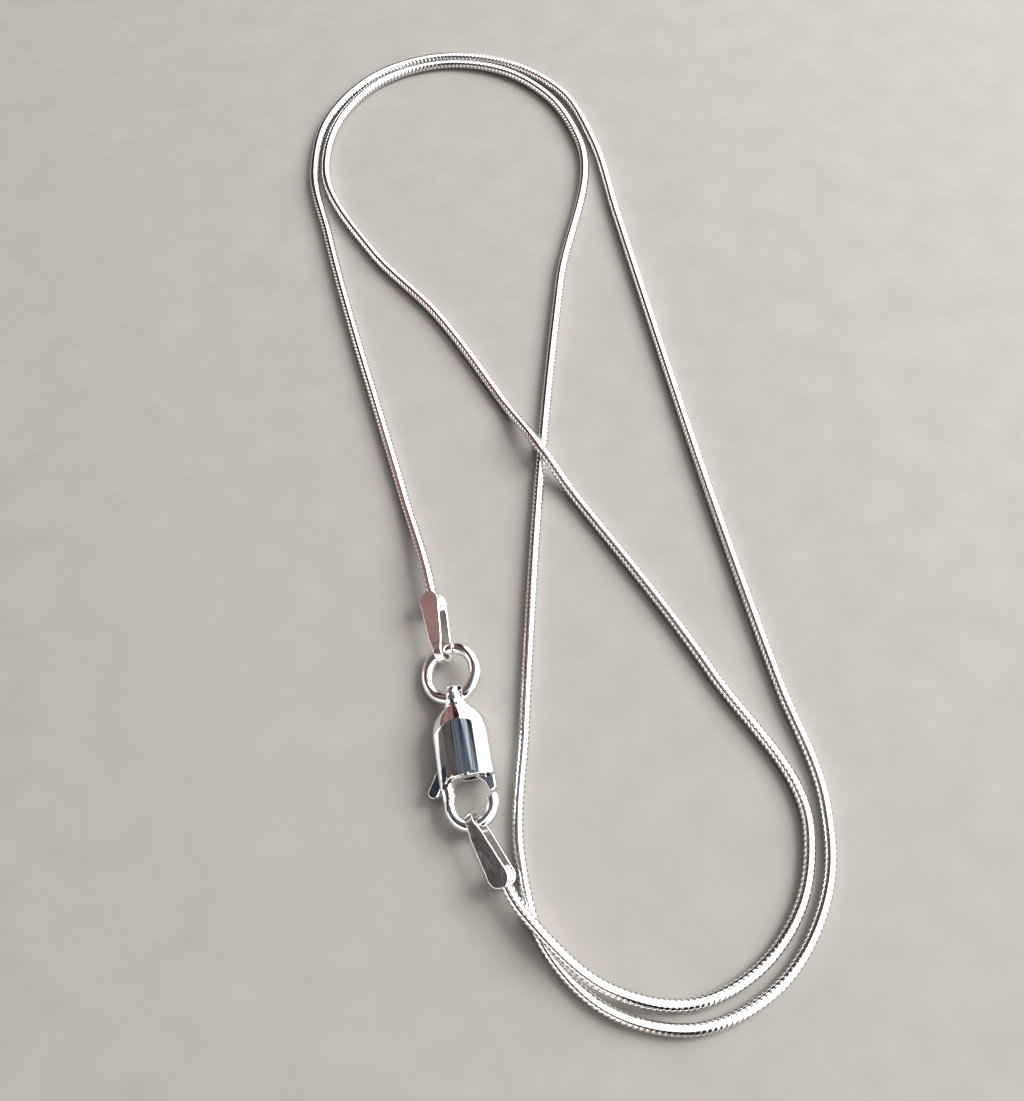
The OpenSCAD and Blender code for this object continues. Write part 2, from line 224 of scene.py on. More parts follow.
RING_TAB_RISE = rise_to(RING_TAB_HEAD_Z, RING_TAB_BEND)
HOOK_TAB_RISE = rise_to(HOOK_TAB_HEAD_Z, HOOK_TAB_BEND)


def tab_frame(bend, angle, rise, roll):
    lying = turned(angle - 90, "Z") @ turned(rise, "X") @ turned(-roll, "Y")
    return Matrix.Translation(bend) @ lying


def tab_points(bend, angle, rise):
    return [bend + s * heading(angle, rise) for s in (TAB_LENGTH - TAB_GRIP, TAB_LENGTH + CHAIN_D / 2)]


# Camera
def make_camera():
    data = bpy.data.cameras.new("camera")
    data.sensor_fit = "AUTO"
    data.sensor_width = SENSOR
    data.lens = FOCAL_LENGTH_PX * SENSOR / FRAME_HEIGHT_PX
    data.clip_start = 0.005
    data.clip_end = 10
    camera = bpy.data.objects.new("camera", data)
    bpy.context.scene.collection.objects.link(camera)
    place = Matrix.Translation(Vector(CAMERA_PLACE) * MM)
    camera.matrix_world = place @ turned(90 - CAMERA_BELOW_HORIZON, "X") @ turned(CAMERA_LEAN, "Z")
    bpy.context.scene.camera = camera


# Meshes
def make_object(name, points, faces, material, smooth=True):
    """A mesh object from points in millimetres."""
    mesh = bpy.data.meshes.new(name)
    mesh.from_pydata((np.asarray(points, float) * MM).tolist(), [], faces)
    mesh.polygons.foreach_set("use_smooth", [smooth] * len(mesh.polygons))
    mesh.materials.append(material)
    mesh.update()
    made = bpy.data.objects.new(name, mesh)
    bpy.context.scene.collection.objects.link(made)
    return made


def moved(points, matrix):
    turn = np.array(matrix.to_3x3())
    return np.asarray(points) @ turn.T + np.array(matrix.translation)


# Fields: each gives, for points in millimetres, the distance to a surface, less than 0 inside it
def soft_max(a, b, k):
    """The greater of two fields, with their common edge rounded over about k."""
    h = np.clip(0.5 + 0.5 * (a - b) / k, 0, 1)
    return b + (a - b) * h + k * h * (1 - h)


def soft_min(a, b, k):
    return -soft_max(-a, -b, k)


def capsule(u, v, start, end, r_start, r_end):
    """Flat field of two round spots joined by a web that narrows evenly from one to the other."""
    along = np.array(end, float) - start
    length = math.hypot(*along)
    du, dv = u - start[0], v - start[1]
    t = (du * along[0] + dv * along[1]) / length
    side = np.abs(du * along[1] - dv * along[0]) / length
    slope = (r_start - r_end) / length
    flank = math.sqrt(1 - slope * slope)
    s = t - side * slope / flank
    near = np.hypot(du, dv) - r_start
    far = np.hypot(u - end[0], v - end[1]) - r_end
    middle = side * flank + t * slope - r_start
    return np.where(s < 0, near, np.where(s > length, far, middle))


def polygon(u, v, corners):
    """Flat field of a polygon."""
    distance = np.full(u.shape, 1e9)
    inside = np.zeros(u.shape, bool)
    for (ax, ay), (bx, by) in zip(corners, corners[1:] + corners[:1]):
        ex, ey = bx - ax, by - ay
        t = np.clip(((u - ax) * ex + (v - ay) * ey) / (ex * ex + ey * ey), 0, 1)
        distance = np.minimum(distance, np.hypot(u - ax - t * ex, v - ay - t * ey))
        crossing = (ay > v) != (by > v)
        at = ax + (v - ay) * ex / (ey if ey else 1e-9)
        inside ^= crossing & (u < at)
    return np.where(inside, -distance, distance)


def gradient(field, points, reach=0.01):
    slopes = []
    for axis in range(3):
        step = np.zeros(3)
        step[axis] = reach
        slopes.append((field(points + step) - field(points - step)) / (2 * reach))
    return np.stack(slopes, -1)


def seated(field, points, rounds=1, longest_move=0.1, least_slope=0.05):
    """Points moved along the field's slope on to its surface."""
    for _ in range(rounds):
        slope = gradient(field, points)
        size = np.maximum((slope * slope).sum(-1, keepdims=True), least_slope)
        shift = field(points)[:, None] * slope / size
        length = np.linalg.norm(shift, axis=1, keepdims=True)
        points = points - shift * np.minimum(1, longest_move / np.maximum(length, 1e-9))
    return points


def make_skin(name, field, low, high, step, place, material):
    """An object whose surface and shading both follow a field, put where it lies."""
    points, faces = skin(field, low, high, step)
    slopes = gradient(field, points, 0.02)
    slopes /= np.maximum(np.linalg.norm(slopes, axis=1, keepdims=True), 1e-6)
    made = make_object(name, moved(points, place), faces, material)
    made.data.normals_split_custom_set_from_vertices((slopes @ np.array(place.to_3x3()).T).tolist())
    return made


def skin(field, low, high, step, relax=10, pull=0.6):
    """Even quads over the surface of a field, between two corners of a box."""
    axes = [np.arange(a, b + step, step) for a, b in zip(low, high)]
    grid = np.stack(np.meshgrid(*axes, indexing="ij"), -1)
    inside = field(grid) < 0
    count = np.zeros([n - 1 for n in inside.shape], int)
    for i in (0, 1):
        for j in (0, 1):
            for k in (0, 1):
                ends = [slice(d, d + n - 1) for d, n in zip((i, j, k), inside.shape)]
                count += inside[tuple(ends)]
    cells = np.argwhere((count > 0) & (count < 8))
    number = np.full(count.shape, -1)
    number[tuple(cells.T)] = np.arange(len(cells))
    points = np.array(low, float) + (cells + 0.5) * step
    quads = []
    for a in range(3):
        b, c = (a + 1) % 3, (a + 2) % 3
        length = inside.shape[a]
        near = inside.take(range(length - 1), a)
        far = inside.take(range(1, length), a)
        edges = np.argwhere(near != far)
        edges = edges[(edges[:, b] > 0) & (edges[:, b] < inside.shape[b] - 1)]
        edges = edges[(edges[:, c] > 0) & (edges[:, c] < inside.shape[c] - 1)]
        around = []
        for db, dc in ((-1, -1), (0, -1), (0, 0), (-1, 0)):
            cell = edges.copy()
            cell[:, b] += db
            cell[:, c] += dc
            around.append(number[tuple(cell.T)])
        face = np.stack(around, -1)
        back = ~near[tuple(edges.T)]
        face[back] = face[back][:, ::-1]
        quads.append(face)
    quads = np.concatenate(quads)
    starts = quads.ravel()
    ends = np.roll(quads, -1, axis=1).ravel()
    ties = np.bincount(starts, minlength=len(points)) + np.bincount(ends, minlength=len(points))
    points = seated(field, points, 4)
    for _ in range(relax):
        mean = np.zeros_like(points)
        for axis in range(3):
            mean[:, axis] = np.bincount(starts, points[ends, axis], len(points))
            mean[:, axis] += np.bincount(ends, points[starts, axis], len(points))
        points = seated(field, (1 - pull) * points + pull * mean / ties[:, None])
    return seated(field, points, 2), quads.tolist()


# Materials
def new_material(name):
    material = bpy.data.materials.new(name)
    material.use_nodes = True
    nodes, links = material.node_tree.nodes, material.node_tree.links
    shader = nodes["Principled BSDF"]
    return material, nodes, links, shader


def polished_silver(name, colour, roughness, scratch_scale, scratch_depth):
    """Polished silver with fine wiping marks and faint uneven tarnish."""
    material, nodes, links, shader = new_material(name)
    shader.inputs["Metallic"].default_value = 1
    place = nodes.new("ShaderNodeTexCoord")

    tarnish = nodes.new("ShaderNodeTexNoise")
    tarnish.inputs["Scale"].default_value = 420
    tarnish.inputs["Detail"].default_value = 4
    links.new(place.outputs["Object"], tarnish.inputs["Vector"])
    tint = nodes.new("ShaderNodeValToRGB")
    tint.color_ramp.elements[0].position = 0.3
    tint.color_ramp.elements[0].color = (*[0.9 * c for c in colour], 1)
    tint.color_ramp.elements[1].position = 0.65
    tint.color_ramp.elements[1].color = (*colour, 1)
    links.new(tarnish.outputs["Fac"], tint.inputs["Fac"])
    links.new(tint.outputs["Color"], shader.inputs["Base Color"])

    dull = nodes.new("ShaderNodeMapRange")
    dull.inputs["To Min"].default_value = 0.7 * roughness
    dull.inputs["To Max"].default_value = 1.5 * roughness
    links.new(tarnish.outputs["Fac"], dull.inputs["Value"])
    links.new(dull.outputs["Result"], shader.inputs["Roughness"])

    stretch = nodes.new("ShaderNodeMapping")
    stretch.inputs["Scale"].default_value = (1, 0.12, 1)
    stretch.inputs["Rotation"].default_value = (0, 0, 0.35)
    links.new(place.outputs["Object"], stretch.inputs["Vector"])
    marks = nodes.new("ShaderNodeTexNoise")
    marks.inputs["Scale"].default_value = scratch_scale
    marks.inputs["Detail"].default_value = 3
    links.new(stretch.outputs["Vector"], marks.inputs["Vector"])
    bump = nodes.new("ShaderNodeBump")
    bump.inputs["Strength"].default_value = 0.12
    bump.inputs["Distance"].default_value = scratch_depth * MM
    links.new(marks.outputs["Fac"], bump.inputs["Height"])
    links.new(bump.outputs["Normal"], shader.inputs["Normal"])
    return material


def tab_silver():
    """Polished strip that the dies left a little uneven."""
    material = polished_silver("tab_silver", (0.95, 0.93, 0.92), 0.16, 3000, 0.01)
    nodes, links = material.node_tree.nodes, material.node_tree.links
    shader = nodes["Principled BSDF"]
    place = nodes.new("ShaderNodeTexCoord")
    dents = nodes.new("ShaderNodeTexNoise")
    dents.inputs["Scale"].default_value = 900
    dents.inputs["Detail"].default_value = 2
    links.new(place.outputs["Object"], dents.inputs["Vector"])
    uneven = nodes.new("ShaderNodeBump")
    uneven.inputs["Strength"].default_value = 0.5
    uneven.inputs["Distance"].default_value = 0.12 * MM
    links.new(dents.outputs["Fac"], uneven.inputs["Height"])
    links.new(shader.inputs["Normal"].links[0].from_socket, uneven.inputs["Normal"])
    links.new(uneven.outputs["Normal"], shader.inputs["Normal"])
    return material


def chain_silver():
    """Polished silver whose base colour is darkened in the grooves between the links, as painted shade."""
    material = polished_silver("chain_silver", (0.95, 0.94, 0.93), 0.1, 5200, 0.004)
    nodes, links = material.node_tree.nodes, material.node_tree.links
    shader = nodes["Principled BSDF"]
    depth = nodes.new("ShaderNodeAttribute")
    depth.attribute_name = "groove_shade"
    dark = nodes.new("ShaderNodeMix")
    dark.data_type = "RGBA"
    # painted shade: the colour that the base colour darkens to in the grooves between links
    dark.inputs["B"].default_value = (0.14, 0.11, 0.105, 1)
    links.new(depth.outputs["Fac"], dark.inputs["Factor"])
    links.new(shader.inputs["Base Color"].links[0].from_socket, dark.inputs["A"])
    links.new(dark.outputs["Result"], shader.inputs["Base Color"])
    return material


def floor_material():
    material, nodes, links, shader = new_material("pale_floor")
    shader.inputs["Roughness"].default_value = 0.75
    place = nodes.new("ShaderNodeTexCoord")
    grain = nodes.new("ShaderNodeTexNoise")
    grain.inputs["Scale"].default_value = 260
    grain.inputs["Detail"].default_value = 6
    links.new(place.outputs["Object"], grain.inputs["Vector"])
    tint = nodes.new("ShaderNodeValToRGB")
    tint.color_ramp.elements[0].color = (0.32, 0.3, 0.272, 1)
    tint.color_ramp.elements[1].color = (0.4, 0.372, 0.34, 1)
    links.new(grain.outputs["Fac"], tint.inputs["Fac"])
    links.new(tint.outputs["Color"], shader.inputs["Base Color"])
    bump = nodes.new("ShaderNodeBump")
    bump.inputs["Strength"].default_value = 0.15
    bump.inputs["Distance"].default_value = 0.1 * MM
    links.new(grain.outputs["Fac"], bump.inputs["Height"])
    links.new(bump.outputs["Normal"], shader.inputs["Normal"])
    return material


# Chain
def chain_route():
    floor_run_z = CHAIN_D / 2
    lift = CHAIN_D + CROSSING_GAP
    start = tab_points(RING_TAB_BEND, RING_TAB_HEADING, RING_TAB_RISE)
    end = tab_points(HOOK_TAB_BEND, HOOK_TAB_HEADING, HOOK_TAB_RISE)[::-1]
    middle = [(x, y, floor_run_z + lift * z) for x, y, z in CHAIN_POINTS]
    return np.array([tuple(p) for p in start] + middle + [tuple(p) for p in end])


def chain_line(steps=60):
    """The chain's centre line as close points, and the length along it at each and at the split."""
    route = chain_route()
    plan = np.diff(route[:, :2], axis=0)
    spans = np.linalg.norm(plan, axis=1)
    courses = plan / spans[:, None]
    last = len(route) - 1
    ways = [courses[0], courses[0]]
    for i in range(2, last - 1):
        ways.append((courses[i - 1] * spans[i] + courses[i] * spans[i - 1]) / (spans[i] + spans[i - 1]))
    ways += [courses[-1], courses[-1]]
    t = np.linspace(0, 1, steps, endpoint=False)[:, None]
    ease = 3 * t**2 - 2 * t**3
    points = []
    for i in range(last):
        flat = route[i, :2] * (1 - ease) + route[i + 1, :2] * ease
        flat = flat + spans[i] * (ways[i] * (t**3 - 2 * t**2 + t) + ways[i + 1] * (t**3 - t**2))
        height = route[i, 2] + (route[i + 1, 2] - route[i, 2]) * ease
        points.append(np.hstack([flat, height]))
    points = np.concatenate(points + [route[-1:]])
    steps_long = np.linalg.norm(np.diff(points, axis=0), axis=1)
    lengths = np.concatenate([[0], np.cumsum(steps_long)])
    return points, lengths, lengths[(CHAIN_SPLIT + 2) * steps]


# One link along the chain: share of the pitch, and depth below the ridge as a share of the depth of the
# grooves, which also scales the painted shade in them
LINK_PROFILE = [(0, 1), (0.1, 0.85), (0.2, 0.3), (0.3, 0), (0.7, 0), (0.8, 0.3), (0.9, 0.85)]


def make_chain(name, from_length, to_length, line, lengths, material):
    """Closely nested ribs, each bent to a saddle, from one length along the line to another."""
    links = max(1, round((to_length - from_length) / LINK_PITCH))
    pitch = (to_length - from_length) / links
    shares = [(i + s, d) for i in range(links) for s, d in LINK_PROFILE] + [(links, 1)]
    shares = np.array(shares)
    along = from_length + shares[:, 0] * pitch
    angles = 2 * np.pi * np.arange(CHAIN_SIDES) / CHAIN_SIDES
    wave = LINK_WAVE * np.cos(2 * angles)
    at = along[:, None] + wave[None, :]
    ahead = np.gradient(line, lengths, axis=0)
    centre = np.stack([np.interp(at, lengths, line[:, i]) for i in range(3)], -1)
    ahead = np.stack([np.interp(at, lengths, ahead[:, i]) for i in range(3)], -1)
    ahead /= np.linalg.norm(ahead, axis=-1, keepdims=True)
    side = np.cross([0, 0, 1], ahead)
    side /= np.linalg.norm(side, axis=-1, keepdims=True)
    up = np.cross(ahead, side)
    at_side = np.cos(angles) ** 2
    depth = GROOVE_DEPTH * shares[:, 1][:, None] * (TOP_DEPTH + (1 - TOP_DEPTH) * at_side)
    radius = (RIDGE_R - depth)[:, :, None]
    out = np.cos(angles)[None, :, None] * side + np.sin(angles)[None, :, None] * up
    rings = centre + radius * out
    points = rings.reshape(-1, 3)
    rows = len(shares)
    here = np.arange(CHAIN_SIDES)
    there = (here + 1) % CHAIN_SIDES
    base = (np.arange(rows - 1) * CHAIN_SIDES)[:, None]
    quads = np.stack([base + here, base + there, base + CHAIN_SIDES + there, base + CHAIN_SIDES + here], -1)
    faces = quads.reshape(-1, 4).tolist()
    faces.append(list(range(CHAIN_SIDES))[::-1])
    faces.append([(rows - 1) * CHAIN_SIDES + k for k in range(CHAIN_SIDES)])
    made = make_object(name, points, faces, material)
    # painted shade in the grooves between links: slight on the chain's top, strongest at its sides
    groove_shade = made.data.attributes.new("groove_shade", "FLOAT", "POINT")
    darkness = shares[:, 1][:, None] * np.minimum(MOST_GROOVE_SHADE, TOP_GROOVE_SHADE + SIDE_GROOVE_SHADE * at_side)
    groove_shade.data.foreach_set("value", darkness.ravel().astype(np.float32))
    return made


# Jump ring
def make_ring(material):
    """Round wire bent to a ring, with its two rounded ends almost touching."""
    sides, steps, edge_r = 32, 120, 0.1
    half_cut = math.degrees(RING_CUT / 2 / RING_MEAN_R)
    edge = math.degrees(edge_r / RING_MEAN_R)
    rows = [(half_cut, 1 - edge_r / RING_WIRE_D * 2)]
    for k in range(1, 5):
        a = math.pi / 2 * k / 4
        rows.append((half_cut + edge * (1 - math.cos(a)), 1 - 2 * edge_r / RING_WIRE_D * (1 - math.sin(a))))
    first = half_cut + edge
    body = [(first + (360 - 2 * first) * k / steps, 1) for k in range(1, steps)]
    rows = rows + body + [(360 - a, r) for a, r in reversed(rows)]
    points = []
    for angle, share in rows:
        a = angle + RING_CUT_ANGLE
        for k in range(sides):
            b = 360 * k / sides
            r = RING_WIRE_D / 2 * share
            reach = RING_MEAN_R + r * cos(b)
            points.append((reach * cos(a), reach * sin(a), r * sin(b)))
    faces = []
    for i in range(len(rows) - 1):
        for k in range(sides):
            n = (k + 1) % sides
            faces.append((i * sides + k, (i + 1) * sides + k, (i + 1) * sides + n, i * sides + n))
    faces.append(list(range(sides)))
    faces.append([(len(rows) - 1) * sides + k for k in reversed(range(sides))])
    return make_object("jump_ring_wire", moved(points, RING_FRAME), faces, material)


# End tabs
def tab_field(p):
    x, y, z = p[..., 0], p[..., 1], np.abs(p[..., 2])
    half_gap_end = TAB_GAP / 2
    mid_r = TAB_BEND_R + TAB_STRIP_T / 2
    slope = (mid_r - half_gap_end - TAB_STRIP_T / 2) / TAB_LENGTH
    level = mid_r - slope * y
    leaf = np.abs(z - level) / math.sqrt(1 + slope * slope) - TAB_STRIP_T / 2
    bend = np.abs(np.hypot(y, z) - mid_r) - TAB_STRIP_T / 2
    strip = np.where(y > 0, leaf, bend)
    head_r = TAB_HEAD_W / 2
    head_y = TAB_LENGTH - head_r
    right = [(TAB_NECK_W / 2, -1), (TAB_NECK_W / 2, 0), (TAB_WAIST_W / 2, TAB_WAIST_Y), (head_r, head_y)]
    left = [(-across, along) for across, along in reversed(right)]
    leaf_edge = soft_min(polygon(x, y, right + left), np.hypot(x, y - head_y) - head_r, TAB_HEAD_BLEND)
    outline = np.where(y > 0, leaf_edge, np.abs(x) - TAB_NECK_W / 2)
    return soft_max(strip, outline, TAB_ROUND)


def make_tab(name, place, material):
    reach = TAB_HEAD_W / 2 + 0.1
    low = (-reach, -TAB_BEND_R - 0.4, -TAB_BEND_R - 0.4)
    high = (reach, TAB_LENGTH + 0.1, TAB_BEND_R + 0.4)
    grid = 0.05
    return make_skin(name, tab_field, low, high, grid, place, material)


# Clasp
def smooth_step(t):
    t = np.clip(t, 0, 1)
    return t * t * (3 - 2 * t)


# Heights over the clasp's middle plane: the barrel, the neck beside the eye, and the rail at some Y
BARREL_INSET = 0.02
BARREL_HEIGHT = CLASP_T / 2 - BARREL_INSET
NECK_HEIGHT = 1.04
NECK_Y = -0.7
NECK_FALL_Y = -0.4
NECK_FALL = 2
LOOP_FOOT_Y = -1.2
RAIL_ROWS = [
    (WINDOW_TOP_Y + 0.35, BARREL_HEIGHT), (WINDOW_TOP_Y, 1.28), (-7.1, 1.13), (-7.6, 0.93), (-8.2, 0.72),
    (HOOK_Y - HOOK_D / 2, 0.52), (-11, 0.475),
]
CREST_ARCH = 0.22
# The rail falls from a ridge near its outer side towards the window
RAIL_RIDGE = 1.8
RAIL_LEAN = 0.55
RAIL_BEND = 0.5
LEAN_START = 0.3
LEAN_REACH = 0.8
RAIL_FADE = 0.45
# How much of the crown is a plain arch. The rest falls close to the sides.
CROWN_ARCH = 0.75
# How far edges are rounded and joins are blended
EDGE_ROUND = 0.25
NECK_INSET = 0.03
NECK_END_ROUND = 0.2
SHOULDER_BLEND = 0.5
RAIL_ROUND = 0.5
FINE_ROUND = 0.1
HOOK_END_ROUND = 0.12
HOOK_BLEND = 0.18
POCKET_ROUND = 0.06
LEVER_ROUND = 0.16
GATE_BLEND = 0.05


def top_height(x, y):
    """Height of the upper face: the eye's loop, the sloping shoulders, the barrel and the falling rail."""
    loop = EYE_SLOT / 2 + np.sqrt(np.maximum(EYE_R**2 - y * y, 0.01))
    arched = y + CREST_ARCH * x * x
    rise = np.clip((NECK_Y - arched) / (NECK_Y - CREST_Y), 0, 1)
    shoulder = NECK_HEIGHT + (BARREL_HEIGHT - NECK_HEIGHT) * (1 - np.cos(np.pi / 2 * rise))
    shoulder = shoulder - NECK_FALL * np.maximum(0, y - NECK_FALL_Y)
    head = np.where(y > LOOP_FOOT_Y, soft_max(loop, shoulder, EDGE_ROUND), shoulder)
    rows = np.array(RAIL_ROWS[::-1])
    return np.minimum(head, np.interp(y, rows[:, 0], rows[:, 1]))


def body_outline(x, y):
    """Pear-shaped neck, round shoulders and straight sides down to the hook's end, seen from above."""
    middle = np.clip(y, HOOK_Y, SHOULDER_Y)
    barrel = np.hypot(x, y - middle) - CLASP_W / 2
    neck = capsule(x, y, (0, NECK_TOP_Y), (0, NECK_FOOT_Y), EYE_W / 2 - NECK_INSET, NECK_FOOT_R)
    neck = soft_max(neck, y - EYE_R, NECK_END_ROUND)
    return soft_min(barrel, neck, SHOULDER_BLEND)


def half_width(y):
    """Half of the body's width at Y."""
    round_part = np.sqrt(np.maximum(0, (CLASP_W / 2) ** 2 - np.maximum(0, y - SHOULDER_Y) ** 2))
    neck = np.interp(y, [NECK_FOOT_Y, NECK_TOP_Y], [NECK_FOOT_R, EYE_W / 2])
    return np.maximum(round_part, neck)


def window_field(x, y):
    """The opening inside the hook and the rail, seen from above."""
    inner = np.hypot(x, y - HOOK_Y) - HOOK_INNER_R
    r = WINDOW_CORNER_R
    left, right, bottom = RAIL_X, CLASP_W, HOOK_Y
    cx, cy = (left + right) / 2, (bottom + WINDOW_TOP_Y) / 2
    hx, hy = (right - left) / 2, (WINDOW_TOP_Y - bottom) / 2
    qx, qy = np.abs(x - cx) - hx + r, np.abs(y - cy) - hy + r
    box = np.hypot(np.maximum(qx, 0), np.maximum(qy, 0)) + np.minimum(np.maximum(qx, qy), 0) - r
    box = np.where(y < HOOK_Y + r, np.maximum(left - x, y - WINDOW_TOP_Y), box)
    lower = np.maximum(HOOK_Y - y, left - x)
    return np.minimum(inner, np.where(y >= HOOK_Y, box, np.maximum(inner, lower)))


def hook_end_y(x):
    """Y of the hook's slanted end."""
    return HOOK_Y + HOOK_END_RISE + (x - HOOK_MEAN_R) * math.tan(math.radians(HOOK_END_SLANT))


def gate_corners():
    """The gate seen from above, with its end slanted as the hook's end is."""
    out_x = CLASP_W / 2
    end_x = out_x - GATE_END_W
    gap = GATE_CLEARANCE / cos(HOOK_END_SLANT)
    return [
        (out_x, GATE_TOP_Y), (out_x - GATE_W, GATE_TOP_Y),
        (end_x, hook_end_y(end_x) + gap), (out_x, hook_end_y(out_x) + gap),
    ]


GATE_TOP_Y = WINDOW_TOP_Y - LEVER_CLEARANCE
GATE_NECK = np.array([CLASP_W / 2 - GATE_WALL - LEVER_CLEARANCE - GATE_NECK_R, GATE_TOP_Y - GATE_NECK_R])
THUMB_ROOT = np.array([-CLASP_W / 2 + THUMB_R / 3, PIVOT[1] - THUMB_DROP])
THUMB_TIP = THUMB_ROOT + THUMB_LENGTH * np.array([cos(THUMB_ANGLE), sin(THUMB_ANGLE)])


def pocket_corners():
    """Corners of the lever pocket's two arms, one towards the thumb piece and one towards the gate."""
    room = HUB_R + LEVER_CLEARANCE
    out_x = CLASP_W / 2 + POCKET_REACH
    wall_x = CLASP_W / 2 - GATE_WALL
    floor_y = WINDOW_TOP_Y - WINDOW_CORNER_R
    px, py = PIVOT
    dx, dy = THUMB_ROOT - PIVOT
    opened_y = py + dy * cos(LEVER_OPEN) - dx * sin(LEVER_OPEN)
    aside = (THUMB_R + 2 * LEVER_CLEARANCE) * np.array([-sin(THUMB_ANGLE), cos(THUMB_ANGLE)])
    thumb_side = [
        (px, py + room), (-out_x, opened_y + THUMB_R + 2 * LEVER_CLEARANCE), (-out_x, THUMB_TIP[1] - THUMB_R),
        tuple(THUMB_TIP + aside), tuple(THUMB_ROOT + aside), (px, py - room - LEVER_CLEARANCE),
    ]
    gate_side = [
        (px + room / 4, py + room), (px - room / 2, py - room / 2), (px - room / 2, floor_y),
        (wall_x, floor_y), (wall_x, GATE_NECK[1] + HUB_R),
    ]
    return thumb_side, gate_side


def eye_loop(y, z, r):
    half_slot = EYE_SLOT / 2
    return np.hypot(y, z - np.clip(z, -half_slot, half_slot)) - r


def hook_rod(x, y, z):
    """The hook's round rod, from inside the rail to its slanted end."""
    ring = np.hypot(np.hypot(x, y - HOOK_Y) - HOOK_MEAN_R, z) - HOOK_D / 2
    past_end = (y - hook_end_y(x)) * cos(HOOK_END_SLANT)
    left_end = np.sqrt((x + HOOK_MEAN_R) ** 2 + (y - HOOK_Y) ** 2 + z * z) - HOOK_D / 2
    return np.where(x > 0, soft_max(ring, past_end, HOOK_END_ROUND), np.where(y > HOOK_Y, left_end, ring))


def clasp_field(p):
    x, y, z = p[..., 0], p[..., 1], p[..., 2]
    height = np.abs(z)
    crown_rise = (CLASP_T - CLASP_SIDE_T) / 2
    share = np.clip(np.abs(x) / half_width(y), 0, 1.2)
    crown = crown_rise * (CROWN_ARCH * share**2 + (1 - CROWN_ARCH) * share**6)
    beside_window = smooth_step((WINDOW_TOP_Y + LEAN_START - y) / LEAN_REACH) * (x < 0)
    lean = RAIL_LEAN * beside_window * soft_max(x + RAIL_RIDGE, 0, RAIL_BEND)
    top = height - top_height(x, y) + crown + lean
    shell = soft_max(body_outline(x, y), top, EDGE_ROUND)

    # The window, with a broad round on the rail beside it and a narrow one along its top
    on_rail = smooth_step((RAIL_X + RAIL_FADE - x) / RAIL_FADE)
    shell = soft_max(shell, -window_field(x, y), FINE_ROUND + RAIL_ROUND * on_rail)

    # The body ends over the gate, where the rail alone runs on to the hook
    under_body = np.where(x > RAIL_X + WINDOW_CORNER_R, WINDOW_TOP_Y - y, -1.0)
    shell = soft_max(shell, under_body, FINE_ROUND)
    body = soft_min(shell, hook_rod(x, y, z), HOOK_BLEND)

    # The eye's hole and the lever's pocket
    body = soft_max(body, -eye_loop(y, z, EYE_HOLE_R), FINE_ROUND)
    pocket = np.hypot(x - PIVOT[0], y - PIVOT[1]) - HUB_R - LEVER_CLEARANCE
    for corners in pocket_corners():
        pocket = np.minimum(pocket, polygon(x, y, corners))
    pocket = np.maximum(pocket, height - LEVER_T / 2 - LEVER_CLEARANCE)
    return soft_max(body, -pocket, POCKET_ROUND)


def lever_field(p):
    x, y, z = p[..., 0], p[..., 1], p[..., 2]
    outline = capsule(x, y, PIVOT, GATE_NECK, HUB_R, GATE_NECK_R)
    outline = soft_min(outline, polygon(x, y, gate_corners()), GATE_BLEND)
    outline = soft_min(outline, capsule(x, y, PIVOT, THUMB_ROOT, HUB_R, THUMB_R), FINE_ROUND)
    outline = soft_min(outline, capsule(x, y, THUMB_ROOT, THUMB_TIP, THUMB_R, THUMB_R), FINE_ROUND)
    return soft_max(outline, np.abs(z) - LEVER_T / 2, LEVER_ROUND)


# The grid that finds each skin: how fine it is, and the room left round the clasp's pieces
SHELL_GRID = 0.07
LEVER_GRID = 0.055
SKIN_MARGIN = 0.15


def make_clasp_body(material):
    margin = SKIN_MARGIN
    low = (-CLASP_W / 2 - margin, -CLASP_LENGTH - margin, -CLASP_T / 2 - margin)
    high = (CLASP_W / 2 + margin, EYE_R + margin, CLASP_T / 2 + margin)
    return make_skin("clasp_shell", clasp_field, low, high, SHELL_GRID, CLASP_FRAME, material)


def make_clasp_lever(material):
    margin = SKIN_MARGIN
    low = (THUMB_TIP[0] - THUMB_R - margin, hook_end_y(CLASP_W / 2) - 0.5, -LEVER_T / 2 - margin)
    high = (CLASP_W / 2 + margin, PIVOT[1] + HUB_R + margin, LEVER_T / 2 + margin)
    return make_skin("clasp_gate_and_thumb_piece", lever_field, low, high, LEVER_GRID, CLASP_FRAME, material)


# Floor and light
FLOOR_REACH = 900


def make_floor():
    size = FLOOR_REACH
    corners = [(-size, -size, 0), (size, -size, 0), (size, size, 0), (-size, size, 0)]
    floor = make_object("floor", corners, [(0, 1, 2, 3)], floor_material(), smooth=False)


